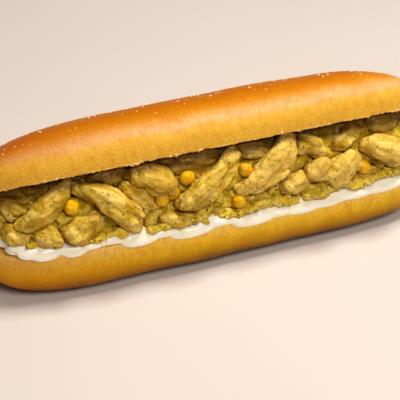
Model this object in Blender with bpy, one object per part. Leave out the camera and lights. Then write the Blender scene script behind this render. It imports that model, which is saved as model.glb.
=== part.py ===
"""A foot-long chicken sandwich, built piece by piece.

A soft roll is split along its length. Its heel lies flat, spread with mayonnaise, and carries a
bank of chopped herb mash set with chicken pieces and kernels of sweetcorn. The crown leans back
on the filling, so that the sandwich gapes along its front. Flecks of seed are baked on the crown.

Frame: X runs along the roll, -Y is the open front, +Z is up, and the heel rests on Z = 0.
All sizes are in metres.
"""

import math
from collections import namedtuple
from random import Random

import bmesh
import bpy
from mathutils import Matrix, Vector, noise

MM = 0.001

# The roll.
ROLL_LENGTH = 300 * MM
HEEL_HALF_WIDTH = 38 * MM
HEEL_HEIGHT = 32 * MM
HEEL_BELLY = 15 * MM  # height of the heel's widest line
HEEL_SHIFT = -3 * MM  # the heel lies this far along the roll from the crown
CROWN_HALF_WIDTH = 36.5 * MM
CROWN_THICKNESS = 34.5 * MM
CROWN_BELLY = 9 * MM  # the crown's widest line, above its cut face
CROWN_LEAN = math.radians(34)  # how far the crown is tipped back
CROWN_SEAT = Vector((0, 6 * MM, 58.5 * MM))  # middle of the crown's cut face
TIP_BLUNTNESS = 5.4  # how late the roll starts to narrow: higher is blunter
HEEL_BLUNTNESS = 9.5  # the same for the heel's right end, which stays wide for longer
TIP_ROUNDNESS = 2.2  # 2 is an elliptic tip, more is squarer
RIM_TUCK = 0.05  # share by which a crust edge lies inside its belly
HEEL_SQUARENESS = 0.62  # how the crust rounds over: 1 is elliptic, less is squarer
CROWN_SQUARENESS = 0.94
BASE_FLAT = 0.9 * MM  # the heel's rounding would reach this far below the ground, which levels it
CUT_DISH = 1.2 * MM  # a cut face sags by this much in the middle
CRUST_WAVE = 0.8 * MM
CRUST_WAVELENGTH = 34 * MM

# The filling.
MAYO_HALF_LENGTH = 146 * MM
FILLING_HALF_LENGTH = 141 * MM
BANK_SWELL = 2 * MM  # how far the filling's face bulges between the two halves
BANK_INSET = 5.5 * MM  # how far that face lies inside the crown's edge
MASH_RELIEF = 3.6 * MM
MASH_GRAIN = 11 * MM  # distance from lump to lump of the mash
MASH_SET_BACK = 3.2 * MM  # how far the mash lies behind the pieces' middles
MASH_TUCK = 3.5 * MM  # how much farther back it lies under the crown's lip
MASH_OVERLAP = 4 * MM  # how far the mash first reaches into the crown, which is then cut out
CLEARANCE = 0.45 * MM  # left between neighbours
FLAT_CUT = math.radians(1.5)  # facets that meet at less than this become one
FLAT_MEAT = math.radians(3)  # the same, for the chicken, whose facets are small

# The seeds.
SEED_COUNT = 28
SEED_LENGTH = 2.4 * MM
SEED_WIDTH_SHARE = 0.64
SEED_DEPTH_SHARE = 0.5
SEED_SPREAD = 0.62  # share of the crown's half width that the seeds reach
SEED_REACH = 0.94  # share of the crown's length that they reach

# How finely the solids are divided.
BREAD_STATIONS = 27
MAYO_STATIONS = 43
MASH_STATIONS = 39
MASH_ROWS = 6
WALL_STEPS = 11
CUT_STEPS = 4
CHUNK_RINGS = 7  # two fewer in a short piece
SHORT_CHUNK = 23 * MM
CHUNK_SIDES = 7

# The mayonnaise's front edge, by its place along the roll: how far it hangs below the heel's rim,
# and how far it rises above it, in millimetres.
MAYO_EDGE = (
    (-150, -5, 8),
    (-137, -3, 8),
    (-132, -0.8, 7.5),
    (-126, -0.8, 7.5),
    (-118, 0.6, 7),
    (-111, 1.6, 7),
    (-102, -1.2, 6.5),
    (-94, 1.6, 6.5),
    (-87, -0.5, 6),
    (-77, -2, 6),
    (-69, -1.4, 5.5),
    (-59, 2.4, 5),
    (-50, 3, 4.5),
    (-39, 1, 4),
    (-22, 5.6, 3.5),
    (-4, 2.4, 3),
    (18, 7.6, 2),
    (36, 5.4, 2.5),
    (52, 7, 2),
    (67, 6, 3),
    (90, 5, 3.5),
    (110, 5.2, 3.5),
    (150, 3, 3),
)
MAYO_LOBE = 0.6 * MM  # how much its lobes vary beyond that
MAYO_SWELL = 1.7 * MM  # how far it stands out in front of the rim
# Near the left end its front edge draws back from the rim and leaves the heel's crumb bare.
MAYO_DRAW_BACK = 0.4  # share of the rim's distance from the middle
MAYO_DRAW_FROM = -121 * MM  # from here along the roll
MAYO_DRAW_REACH = 16 * MM  # and complete within this

# One chicken piece. x: place along the roll, and up: share of the height from the mayonnaise to
# the crown's lip. turn: the strip's slope in degrees, right end up. length, width and depth: its
# size in millimetres. bend: how far its ends curl up, in degrees. out: how far its middle stands
# out of the bank, in millimetres. taper: how much thicker its right end is than its middle.
Piece = namedtuple("Piece", "x up turn length width depth bend out taper", defaults=(0,))

# The pieces of the open front, those that lie on top first.
FRONT_CHICKEN = (
    Piece(-72, 0.57, -42, 51, 16, 12, -14, 2.0, 0.26),
    Piece(-109, 0.58, 36, 44, 13, 11, 12, 1.5, -0.12),
    Piece(-8, 0.56, 39, 54, 15, 12, 18, 3.0, -0.35),
    Piece(30, 0.56, 37, 52, 18, 13, 22, 3.0, 0.25),
    Piece(107, 0.50, -30, 34, 19, 14, -10, 3.0, 0.1),
    Piece(77, 0.36, 28, 29, 19, 13, 0, 2.5, -0.1),
    Piece(-45, 0.78, -26, 36, 16, 12, -14, 1.5, 0.2),
    Piece(61, 0.42, 14, 19, 15, 13, 0, 2.0),
    Piece(-90, 0.20, 20, 28, 15, 11, 18, 2.0, -0.15),
    Piece(-111, 0.15, -38, 23, 13, 10, 0, 1.5),
    Piece(-128, 0.22, -14, 19, 14, 11, 0, 1.5),
    Piece(45, 0.30, 16, 22, 14, 11, 0, 1.0, -0.1),
    Piece(-54, 0.52, -36, 32, 13, 10, 10, -1.0, -0.2),
    Piece(-33, 0.10, -16, 26, 11, 9, 0, 0.5, 0.1),
    Piece(59, 0.78, -34, 32, 12, 12, -40, 0.0, -0.15),
    Piece(-2, 0.04, -12, 24, 9, 7, 0, 0.0),
    Piece(20, 0.87, -16, 26, 13, 10, 0, -2.5, -0.15),
    Piece(-19, 0.86, 5, 42, 13, 10, 0, -3.0, 0.1),
    Piece(83, 0.76, 24, 24, 13, 10, 0, -1.5, 0.15),
    Piece(112, 0.88, -4, 28, 13, 11, 0, -2.0, -0.1),
    Piece(118, 0.17, -4, 24, 12, 10, 0, 0.5),
    Piece(-72, 0.88, 4, 28, 13, 10, 0, -3.5),
    Piece(-130, 0.66, -30, 20, 12, 10, 0, -1.0, 0.15),
    Piece(-50, 0.20, 80, 14, 9, 8, 0, -0.5),
    Piece(132, 0.52, 62, 26, 14, 12, 10, 0.5, 0.2),
    Piece(97, 0.16, -12, 19, 11, 9, 0, -0.5),
    Piece(23, 0.16, -20, 19, 10, 8, 0, -1.0),
    Piece(141, 0.26, 10, 17, 12, 9, 0, 0.0),
    Piece(-141, 0.50, 75, 26, 13, 10, 0, 0.0),
)
# The pieces that show in the narrow gap at the back.
BACK_CHICKEN = (
    Piece(-84, 0.5, 4, 34, 11, 9, 0, -1.5),
    Piece(-18, 0.5, -5, 30, 11, 9, 0, -1.5),
    Piece(46, 0.5, 3, 36, 11, 9, 0, -1.5),
    Piece(104, 0.5, -4, 26, 11, 9, 0, -1.5),
)

# One kernel of sweetcorn: its place, and how far its middle stands out, in millimetres.
Kernel = namedtuple("Kernel", "x up out")
KERNEL_WIDTH = 9.4 * MM
FRONT_CORN = (
    Kernel(-96, 0.58, 2.5),
    Kernel(-24.5, 0.68, 1.0),
    Kernel(-42, 0.47, 1.5),
    Kernel(13, 0.63, 1.0),
    Kernel(6.5, 0.23, 2.0),
    Kernel(91.5, 0.31, 2.5),
    Kernel(-34, 0.52, -1.0),
)
BACK_CORN = (
    Kernel(-50, 0.5, 0.0),
    Kernel(18, 0.5, 0.0),
    Kernel(76, 0.5, 0.0),
)


def clear_scene():
    for item in list(bpy.data.objects):
        bpy.data.objects.remove(item)


def material(name, colour, roughness):
    """A Principled surface of one colour, for telling the pieces apart."""
    made = bpy.data.materials.new(name)
    made.use_nodes = True
    shader = made.node_tree.nodes["Principled BSDF"]
    shader.inputs["Base Color"].default_value = (*colour, 1)
    shader.inputs["Roughness"].default_value = roughness
    shader.inputs["Metallic"].default_value = 0
    return made


def signed_power(value, power):
    return math.copysign(abs(value) ** power, value)


def mix(a, b, share):
    return a + (b - a) * share


def wobble(point, grain, seed=0.0):
    """Smooth noise from -1 to 1 that changes over a distance of about grain."""
    return noise.noise(Vector(point) / grain + Vector((seed, 2.3 * seed, -1.7 * seed)))


def end_taper(x, bluntness=TIP_BLUNTNESS, half_length=ROLL_LENGTH / 2):
    """The share of full size left at station x: 1 along the middle and 0 at the tips."""
    reach = min(abs(x) / half_length, 1)
    return (1 - reach**bluntness) ** (1 / TIP_ROUNDNESS)


def heel_taper(x, half_length=ROLL_LENGTH / 2):
    """The same for the width of the heel, whose right end is the blunter one."""
    return end_taper(x, TIP_BLUNTNESS if x < 0 else HEEL_BLUNTNESS, half_length)


def stations(count, half_length, crowding):
    """Places along the roll that crowd towards its tips, which they leave out."""
    last = 0.997
    for step in range(count):
        u = mix(-1, 1, step / (count - 1))
        yield half_length * last * mix(u, math.sin(u * math.pi / 2), crowding)


def finish(name, shape, surface):
    """Turns a bmesh into a named, smooth-shaded object of triangles that face outwards."""
    bmesh.ops.triangulate(shape, faces=shape.faces)
    bmesh.ops.recalc_face_normals(shape, faces=shape.faces)
    mesh = bpy.data.meshes.new(name)
    shape.to_mesh(mesh)
    shape.free()
    mesh.materials.append(surface)
    mesh.shade_smooth()
    made = bpy.data.objects.new(name, mesh)
    bpy.context.scene.collection.objects.link(made)
    return made


def loft(name, rings, poles, surface):
    """A closed solid through rings of points, each end drawn together to its pole."""
    shape = bmesh.new()
    hoops = [[shape.verts.new(point) for point in ring] for ring in rings]
    for near, far in zip(hoops, hoops[1:]):
        for i in range(len(near)):
            shape.faces.new((near[i - 1], near[i], far[i], far[i - 1]))
    for hoop, pole in zip((hoops[0], hoops[-1]), poles):
        tip = shape.verts.new(pole)
        for i in range(len(hoop)):
            shape.faces.new((hoop[i - 1], hoop[i], tip))
    return finish(name, shape, surface)


def roll_loft(name, section, places, half_length, surface):
    """Lofts a section, a function from station to (y, z) outline, along the roll."""
    rings = [[Vector((x, y, z)) for y, z in section(x)] for x in places]
    poles = []
    for ring, side in ((rings[0], -1), (rings[-1], 1)):
        middle = sum(ring, Vector()) / len(ring)
        poles.append(Vector((side * half_length, middle.y, middle.z)))
    return loft(name, rings, poles, surface)


# The bread.


def crust_arc(half, belly, height, squareness):
    """A half loaf's crust from the front edge of its cut face round to the rear edge.

    The height is measured from the cut face. The crust swells from its cut edge to the belly and
    then rounds over.
    """
    arc = [(-half * (1 - RIM_TUCK), 0)]
    for step in range(WALL_STEPS + 1):
        angle = math.pi * step / WALL_STEPS
        across = -half * signed_power(math.cos(angle), 0.82)
        arc.append((across, belly + (height - belly) * math.sin(angle) ** squareness))
    arc.append((half * (1 - RIM_TUCK), 0))
    return arc


def cut_face(half):
    """The sagging cut face between the crust's two edges, from rear to front."""
    edge = half * (1 - RIM_TUCK)
    for step in range(1, CUT_STEPS + 1):
        across = mix(edge, -edge, step / (CUT_STEPS + 1))
        yield across, CUT_DISH * (1 - (across / edge) ** 2)


def waved(outline, x, seed):
    """The outline with the slow unevenness of a hand-shaped loaf."""
    for across, height in outline:
        wave = wobble((x, across, height), CRUST_WAVELENGTH, seed)
        push = 1 + CRUST_WAVE / HEEL_HALF_WIDTH * wave
        yield across * push, height * push


def heel_section(x):
    """The heel hangs from its cut face at HEEL_HEIGHT, and is cut flat where it rests."""
    half = HEEL_HALF_WIDTH * heel_taper(x)
    tip = end_taper(x, TIP_BLUNTNESS + 3)
    belly = (HEEL_HEIGHT - HEEL_BELLY) * tip
    depth = (HEEL_HEIGHT + BASE_FLAT) * tip
    outline = [*crust_arc(half, belly, depth, HEEL_SQUARENESS), *cut_face(half)]
    for across, below in waved(outline, x, 1.0):
        yield across, max(HEEL_HEIGHT - below, 0)


def crown_section(x):
    """The crown in its own frame, with the cut face on the plane z = 0."""
    half = CROWN_HALF_WIDTH * end_taper(x)
    tip = end_taper(x, TIP_BLUNTNESS - 1)
    arc = crust_arc(half, CROWN_BELLY * tip, CROWN_THICKNESS * tip, CROWN_SQUARENESS)
    return waved([*arc, *cut_face(half)], x, 5.0)


def sprinkle_seeds(crown):
    """Fuses seeds to the crown: they lie at random on its top, half baked into the crust."""
    draw = Random(11)
    seeds = bpy.data.collections.new("seeds")
    bpy.context.scene.collection.children.link(seeds)
    for index in range(SEED_COUNT):
        lane = (index + draw.uniform(0.1, 0.9)) / SEED_COUNT
        x = mix(-1, 1, lane) * ROLL_LENGTH / 2 * SEED_REACH
        reach = CROWN_HALF_WIDTH * SEED_SPREAD * end_taper(x)
        across = reach * signed_power(draw.uniform(-1, 1), 1.3)
        above = Vector((x, across, 2 * CROWN_THICKNESS))
        _, spot, normal, _ = crown.ray_cast(above, Vector((0, 0, -1)))
        bpy.ops.mesh.primitive_ico_sphere_add(subdivisions=1, radius=SEED_LENGTH / 2)
        seed = bpy.context.object
        seed.data.transform(Matrix.Diagonal((1, SEED_WIDTH_SHARE, SEED_DEPTH_SHARE, 1)))
        spin = Matrix.Rotation(draw.uniform(0, math.pi), 4, "Z")
        upright = normal.to_track_quat("Z", "Y").to_matrix().to_4x4()
        seed.matrix_world = crown.matrix_world @ Matrix.Translation(spot) @ upright @ spin
        for home in seed.users_collection:
            home.objects.unlink(seed)
        seeds.objects.link(seed)
    bpy.context.view_layer.update()
    join(crown, seeds)


def join(target, collection):
    """Fuses a collection of closed shapes onto the target, and removes them."""
    union = target.modifiers.new("join", "BOOLEAN")
    union.operation = "UNION"
    union.operand_type = "COLLECTION"
    union.collection = collection
    union.solver = "EXACT"
    bake(target)
    for item in list(collection.objects):
        bpy.data.objects.remove(item)
    bpy.data.collections.remove(collection)


def crown_frame():
    """Where the crown's own frame lies: tipped back about the roll's direction."""
    return Matrix.Translation(CROWN_SEAT) @ Matrix.Rotation(-CROWN_LEAN, 4, "X")


# Cutting and keeping clear.


def bake(target):
    """Applies the target's modifiers to its mesh."""
    bpy.context.view_layer.update()
    seen = target.evaluated_get(bpy.context.evaluated_depsgraph_get())
    old = target.data
    target.data = bpy.data.meshes.new_from_object(seen)
    target.modifiers.clear()
    bpy.data.meshes.remove(old)


def swollen(piece):
    """A copy of a piece that is larger by the clearance all over, for cutting its neighbours."""
    copy = piece.copy()
    copy.data = piece.data.copy()
    copy.name = "cutter"
    copy.hide_render = True
    copy.display_type = "WIRE"
    bpy.context.scene.collection.objects.link(copy)
    skin = [vertex.co + vertex.normal * CLEARANCE for vertex in copy.data.vertices]
    for vertex, place in zip(copy.data.vertices, skin):
        vertex.co = place
    return copy


def world_box(item):
    corners = [item.matrix_world @ Vector(corner) for corner in item.bound_box]
    low = Vector(map(min, zip(*corners)))
    high = Vector(map(max, zip(*corners)))
    return low, high


def near(a, b):
    (low_a, high_a), (low_b, high_b) = world_box(a), world_box(b)
    return all(low_a[i] < high_b[i] and low_b[i] < high_a[i] for i in range(3))


def carve(target, cutters, flat=FLAT_CUT):
    """Takes the cutters out of the target, and drops any scrap that comes loose."""
    bpy.context.view_layer.update()
    for cutter in cutters:
        if not near(target, cutter):
            continue
        cut = target.modifiers.new("cut", "BOOLEAN")
        cut.operation = "DIFFERENCE"
        cut.solver = "EXACT"
        cut.object = cutter
        bake(target)
    keep_largest(target, flat)


def islands(shape):
    """The connected groups of faces of a bmesh."""
    left = set(shape.faces)
    while left:
        group, front = set(), [left.pop()]
        while front:
            face = front.pop()
            group.add(face)
            for edge in face.edges:
                for other in edge.link_faces:
                    if other in left:
                        left.remove(other)
                        front.append(other)
        yield group


def tidy(mesh, sliver, flat):
    """A bmesh of the mesh's largest body, without edges shorter than a sliver or flat seams."""
    shape = bmesh.new()
    shape.from_mesh(mesh)
    bmesh.ops.dissolve_degenerate(shape, dist=sliver, edges=shape.edges)
    bmesh.ops.dissolve_limit(shape, angle_limit=flat, verts=shape.verts, edges=shape.edges)
    bmesh.ops.triangulate(shape, faces=shape.faces)
    groups = sorted(islands(shape), key=len)
    scraps = [face for group in groups[:-1] for face in group]
    bmesh.ops.delete(shape, geom=scraps, context="FACES")
    return shape


def keep_largest(target, flat):
    """Tidies a cut body as coarsely as leaves it closed, and drops its loose scraps."""
    for sliver in (0.1 * MM, 0.05 * MM, 0.02 * MM, 0.005 * MM, 0.001 * MM):
        shape = tidy(target.data, sliver, flat)
        if all(edge.is_manifold for edge in shape.edges):
            break
        shape.free()
    shape.to_mesh(target.data)
    shape.free()


# The mayonnaise.


def mayo_edge(x):
    """How far the spread hangs below the heel's rim at station x, and how far it rises above."""
    place = x / MM
    for (x0, hang0, rise0), (x1, hang1, rise1) in zip(MAYO_EDGE, MAYO_EDGE[1:]):
        if place <= x1:
            share = max((place - x0) / (x1 - x0), 0)
            share = share * share * (3 - 2 * share)
            break
    lobe = wobble((x, 0, 0), 15 * MM, 6.0)
    hang = mix(hang0, hang1, share) * MM + MAYO_LOBE * lobe
    rise = mix(rise0, rise1, share) * MM + 0.4 * MAYO_LOBE * wobble((x, 0, 0), 19 * MM, 3.0)
    return hang, rise


def mayo_section(x):
    """A spread that lies on the heel and swells over its front edge in slow lobes."""
    rim = HEEL_HALF_WIDTH * (1 - RIM_TUCK) * heel_taper(x, MAYO_HALF_LENGTH)
    drawn = min(max((MAYO_DRAW_FROM - x) / MAYO_DRAW_REACH, 0), 1)
    front = -rim * (1 - MAYO_DRAW_BACK * drawn * drawn * (3 - 2 * drawn))
    lap = min(2.5 * MM, -0.45 * front)
    hang, rise = mayo_edge(x)
    swell = MAYO_SWELL + 0.6 * MAYO_LOBE * wobble((x, 0, 0), 17 * MM, 3.0)
    bed = HEEL_HEIGHT - 3 * MM  # inside the heel, which is cut out of the spread
    return [
        (front - 0.1 * hang, HEEL_HEIGHT - hang),
        (front - swell, HEEL_HEIGHT + mix(-hang, rise, 0.3)),
        (front - 0.7 * swell, HEEL_HEIGHT + mix(-hang, rise, 0.75)),
        (front + lap, HEEL_HEIGHT + rise),
        (front * 0.5, HEEL_HEIGHT + 0.9 * rise),
        (rim * 0.3, HEEL_HEIGHT + 2.5 * MM),
        (rim * 0.9, HEEL_HEIGHT + 2 * MM),
        (rim * 0.9, bed),
        (front * 0.5, bed),
        (front + lap, min(bed, HEEL_HEIGHT - hang - 0.5 * MM)),
    ]


# The bank of filling, from the mayonnaise up to the crown.


def bank_point(x, up, front=True):
    """A point of the bank's face at station x, at a share of its height."""
    share = end_taper(x, TIP_BLUNTNESS, FILLING_HALF_LENGTH + 1.5 * MM)
    side = -1 if front else 1
    rim = HEEL_HALF_WIDTH * (1 - RIM_TUCK) * heel_taper(x, FILLING_HALF_LENGTH + 1.5 * MM)
    rise = mayo_edge(x - HEEL_SHIFT)[1] if front else 2 * MM
    foot = Vector((x, side * (rim - 3 * MM), HEEL_HEIGHT + rise - 1.5 * MM))
    edge = crown_frame() @ Vector((x, side * CROWN_HALF_WIDTH * share, 0))
    inset = Vector((0, -side * BANK_INSET, -3 * MM if front else -1.5 * MM))
    swell = Vector((0, side * BANK_SWELL * 4 * up * (1 - up), 0))
    return foot.lerp(edge + inset, up) + swell


def bank_frame(x, up, front=True):
    """The bank's frame at a point: X along the roll, Y up the bank, Z out of it."""
    step = 0.5 * MM
    low, high = bank_point(x, up - 0.02, front), bank_point(x, up + 0.02, front)
    rise = (high - low).normalized()
    along = bank_point(x + step, up, front) - bank_point(x - step, up, front)
    if not front:
        along.negate()
    out = along.cross(rise).normalized()
    along = rise.cross(out)
    turn = Matrix((along, rise, out)).transposed().to_4x4()
    return Matrix.Translation(bank_point(x, up, front)) @ turn


def mash_section(x):
    """The mash behind the chicken: a lumpy front, a slanting top, a lumpy back and a bed."""
    tuck = MASH_TUCK * end_taper(x, TIP_BLUNTNESS, FILLING_HALF_LENGTH) ** 2
    outline = []
    for row in range(MASH_ROWS + 1):
        up = row / MASH_ROWS
        spot = bank_point(x, up)
        lump = wobble(spot, MASH_GRAIN, 4.0) * MASH_RELIEF
        back = MASH_SET_BACK * math.sin(up * math.pi) + tuck * up**3
        outline.append((spot.y + back - lump, spot.z))
    for share in (0.1, 0.5, 0.9):
        spot = bank_point(x, 1).lerp(bank_point(x, 1, False), share)
        outline.append((spot.y, spot.z + MASH_OVERLAP))
    for up in (1, 0.5, 0):
        spot = bank_point(x, up, False)
        lump = wobble(spot, MASH_GRAIN, 4.0) * MASH_RELIEF / 2
        outline.append((spot.y - MASH_SET_BACK / 2 + lump, spot.z))
    bed = HEEL_HEIGHT + 1.5 * MM
    rear, front = bank_point(x, 0, False).y, bank_point(x, 0).y
    outline.append((mix(rear, front, 0.35), bed))
    outline.append((mix(rear, front, 0.75), bed))
    return outline


# The pieces set in the bank.


def chunk(name, piece, seed, frame, surface):
    """One piece of chicken: a strip with blunt torn ends, uneven along and around."""
    draw = Random(seed)
    length, width, depth = piece.length * MM, piece.width * MM, piece.depth * MM
    lean = draw.uniform(-10, 10)
    twist = draw.uniform(-0.4, 0.4)
    curl = math.sin(math.radians(piece.bend)) * length / 2

    def spine(s):
        return Vector((s * length / 2, curl * s * s, -0.22 * depth * s * s))

    rings = []
    count = CHUNK_RINGS if length > SHORT_CHUNK else CHUNK_RINGS - 2
    for step in range(count):
        s = -math.cos((step + 0.5) / count * math.pi)
        full = (1 - abs(s) ** 3.6) ** 0.45 * (1 + piece.taper * s)
        ring = []
        for side in range(CHUNK_SIDES):
            angle = math.tau * side / CHUNK_SIDES + twist * s
            across = width / 2 * full * signed_power(math.cos(angle), 0.75)
            high = depth / 2 * full * signed_power(math.sin(angle), 0.75)
            spoke = Vector((0, across, high))
            spot = spine(s) + spoke
            push = 1 + 0.42 * wobble(spot, 9 * MM, seed) + 0.28 * wobble(spot, 4 * MM, seed + 9.0)
            ring.append(spine(s) + spoke * push)
        rings.append(ring)
    made = loft(name, rings, (spine(-1), spine(1)), surface)
    tilt = Matrix.Rotation(math.radians(lean), 4, "X")
    tilt = Matrix.Rotation(math.radians(piece.turn), 4, "Z") @ tilt
    made.matrix_world = frame @ Matrix.Translation((0, 0, piece.out * MM)) @ tilt
    return made


def kernel(name, spot, seed, frame, surface):
    """One kernel of sweetcorn: a plump cushion, drawn in a little towards its base."""
    draw = Random(seed)
    bpy.ops.mesh.primitive_uv_sphere_add(segments=7, ring_count=5, radius=KERNEL_WIDTH / 2)
    made = bpy.context.object
    made.name = name
    for vertex in made.data.vertices:
        pinch = 1 - 0.16 * max(vertex.co.y / (KERNEL_WIDTH / 2), 0) ** 2
        vertex.co.x *= pinch
        vertex.co.y *= 1.12
        vertex.co.z *= 0.8 * pinch
    made.data.materials.append(surface)
    made.data.shade_smooth()
    spin = Matrix.Rotation(draw.uniform(0, math.tau), 4, "Z")
    made.matrix_world = frame @ Matrix.Translation((0, 0, spot.out * MM)) @ spin
    return made


def set_pieces():
    """All kernels and chicken pieces in the order in which they lie, topmost first."""
    chicken_surface = material("chicken", (0.72, 0.56, 0.22), 0.45)
    corn_surface = material("sweetcorn", (0.93, 0.63, 0.06), 0.35)
    placed = []
    for front, kernels in ((True, FRONT_CORN), (False, BACK_CORN)):
        for spot in kernels:
            frame = bank_frame(spot.x * MM, spot.up, front)
            name = f"corn_{len(placed) + 1:02d}"
            placed.append(kernel(name, spot, len(placed) + 50, frame, corn_surface))
    count = 0
    for front, chicken in ((True, FRONT_CHICKEN), (False, BACK_CHICKEN)):
        for piece in chicken:
            count += 1
            frame = bank_frame(piece.x * MM, piece.up, front)
            placed.append(chunk(f"chicken_{count:02d}", piece, count, frame, chicken_surface))
    return placed


def centre_on_base(items):
    """Moves the whole sandwich so that the middle of its box's base is the origin."""
    bpy.context.view_layer.update()
    places = [item.matrix_world @ vertex.co for item in items for vertex in item.data.vertices]
    low = Vector(map(min, zip(*places)))
    high = Vector(map(max, zip(*places)))
    middle = (low + high) / 2
    for item in items:
        item.location -= Vector((middle.x, middle.y, low.z))


def build_bread():
    """The heel and the crown, and a cutter for each."""
    crust = material("crust", (0.78, 0.46, 0.12), 0.5)
    half = ROLL_LENGTH / 2
    places = list(stations(BREAD_STATIONS, half, 0.9))
    heel = roll_loft("bread_heel", heel_section, places, half, crust)
    heel.location.x = HEEL_SHIFT
    crown = roll_loft("bread_crown", crown_section, places, half, crust)
    crown.matrix_world = crown_frame()
    bpy.context.view_layer.update()
    cutters = [swollen(crown), swollen(heel)]
    sprinkle_seeds(crown)
    return heel, crown, cutters


def build_mayonnaise(heel_cutter):
    cream = material("mayonnaise", (0.93, 0.88, 0.72), 0.3)
    places = stations(MAYO_STATIONS, MAYO_HALF_LENGTH, 0.5)
    mayo = roll_loft("mayonnaise", mayo_section, places, MAYO_HALF_LENGTH, cream)
    mayo.location.x = HEEL_SHIFT
    carve(mayo, [heel_cutter])
    return mayo


def build_pieces(cutters):
    """The kernels and chicken pieces, each cut clear of all that lies over or under it."""
    pieces = set_pieces()
    bpy.context.view_layer.update()
    for piece in pieces:
        cutter = swollen(piece)
        carve(piece, cutters, FLAT_MEAT)
        cutters.append(cutter)
    return pieces


def build_mash(cutters):
    green = material("herb_mash", (0.45, 0.38, 0.10), 0.5)
    places = stations(MASH_STATIONS, FILLING_HALF_LENGTH, 0.4)
    mash = roll_loft("herb_mash", mash_section, places, FILLING_HALF_LENGTH, green)
    carve(mash, cutters)
    return mash


def build():
    clear_scene()
    heel, crown, cutters = build_bread()
    mayo = build_mayonnaise(cutters[1])
    cutters.append(swollen(mayo))
    pieces = build_pieces(cutters)
    mash = build_mash(cutters)
    for cutter in cutters:
        bpy.data.objects.remove(cutter)
    centre_on_base([heel, crown, mayo, mash, *pieces])


build()
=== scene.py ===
"""How a foot-long chicken sandwich looks: its bread, filling and spread, finished piece by piece.

X runs along the roll, -Y is its open front and +Z is up. Lengths are in metres.
"""

import math
from random import Random

import bpy
import numpy as np
from mathutils import Matrix, Vector, noise
from mathutils.bvhtree import BVHTree


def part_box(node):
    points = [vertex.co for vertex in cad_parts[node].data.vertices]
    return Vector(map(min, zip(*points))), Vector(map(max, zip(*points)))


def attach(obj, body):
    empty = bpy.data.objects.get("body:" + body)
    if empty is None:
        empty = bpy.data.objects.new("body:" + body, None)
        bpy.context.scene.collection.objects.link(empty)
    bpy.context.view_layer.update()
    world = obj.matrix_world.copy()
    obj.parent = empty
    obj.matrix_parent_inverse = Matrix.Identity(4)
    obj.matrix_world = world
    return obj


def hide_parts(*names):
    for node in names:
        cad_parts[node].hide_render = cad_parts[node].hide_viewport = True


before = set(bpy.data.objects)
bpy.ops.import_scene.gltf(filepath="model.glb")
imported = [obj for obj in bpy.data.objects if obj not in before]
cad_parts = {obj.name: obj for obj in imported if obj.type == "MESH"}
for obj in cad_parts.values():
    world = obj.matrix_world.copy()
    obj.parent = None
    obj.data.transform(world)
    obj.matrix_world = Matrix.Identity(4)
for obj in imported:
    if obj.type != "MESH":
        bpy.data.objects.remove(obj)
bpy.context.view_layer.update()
MM = 0.001

# ------------------------
# The heel: the lower half of a soft white roll. It was shaped by hand and baked on a flat tray, so
# its crust is thin, golden and a little wrinkled. From its cut edge down it goes from pale gold to
# near black: bake colour, with painted light near the edge and painted shade below. Its cut face is
# crumb.

HEEL_MIDDLE = Vector((-1.5, -2.63, 32)) * MM  # of its cut face
HEEL_HALF_WIDTH = 38 * MM
HEEL_BELLY = 17 * MM  # from the cut face to its widest line
HEEL_DEPTH = 32.9 * MM  # to where its rounding would reach, were its base not flat
HEEL_BLUNTNESS = (5.4, 9.5)  # how late its left and right ends narrow
HEEL_LOW_BLUNTNESS = 8.4  # and how late its ends rise
HEEL_SQUARENESS = 0.62
ROLL_HALF_LENGTH = 150 * MM
ROLL_STATIONS = 97
TIP_ROUNDNESS = 2.2
TIP_CAP = 0.4 * MM
EDGE_TUCK = 0.05  # share of the half width by which the cut edge is narrower
WALL_STEPS = (0.07, 0.35, 0.7)  # from the cut edge to the widest line
ARC_STEPS = 22
ARC_ROUNDNESS = 0.82
CUT_STEPS = (0.975, 0.8, 0.5, 0.2, -0.2, -0.5, -0.8, -0.975)  # across the cut face
CUT_DOME = 1.2 * MM
CRUST_WAVE = 0.8 * MM
CRUST_WAVELENGTH = 34 * MM
TORN_EDGE = 1.3 * MM  # how rough a knife leaves the crust's cut edge
TORN_REACH = 1.6 * MM
SHRED_PITCH = 2 * MM
NICK_PITCH = 6.5 * MM
TEAR_PITCH = 24 * MM  # of the stretches that tore more than others
CRUMB_BORDER = 0.8 * MM  # how softly the crumb begins inside the cut edge


def linear(colour):
    """An sRGB hex colour as linear red, green, blue and alpha."""
    parts = [int(colour[i : i + 2], 16) / 255 for i in (0, 2, 4)]
    return (*(((c + 0.055) / 1.055) ** 2.4 if c > 0.04045 else c / 12.92 for c in parts), 1)


def select_only(piece):
    """Makes one piece the only selected and active one."""
    if bpy.context.mode != "OBJECT":
        bpy.ops.object.mode_set(mode="OBJECT")
    bpy.ops.object.select_all(action="DESELECT")
    piece.select_set(True)
    bpy.context.view_layer.objects.active = piece


def add_modifier(piece, kind, **settings):
    """Adds a modifier with its settings and applies it."""
    select_only(piece)
    modifier = piece.modifiers.new(kind.lower(), kind)
    for name, value in settings.items():
        setattr(modifier, name, value)
    bpy.ops.object.modifier_apply(modifier=modifier.name)


def add_node(finish, kind, inputs=(), stops=(), **settings):
    """Adds a shader node. An input is a value, a socket, or a node whose first socket feeds it."""
    tree = finish.node_tree
    node = tree.nodes.new("ShaderNode" + kind)
    for name, value in settings.items():
        setattr(node, name, value)
    for name, value in dict(inputs).items():
        target = next(s for s in node.inputs if name in (s.identifier, s.name) and s.enabled)
        if isinstance(value, bpy.types.Node):
            value = next(s for s in value.outputs if s.enabled)
        if isinstance(value, bpy.types.NodeSocket):
            tree.links.new(value, target)
        else:
            target.default_value = value
    for index, (place, colour) in enumerate(stops):
        elements = node.color_ramp.elements
        stop = elements[index] if index < 2 else elements.new(place)
        stop.position, stop.color = place, linear(colour)
    return node


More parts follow.
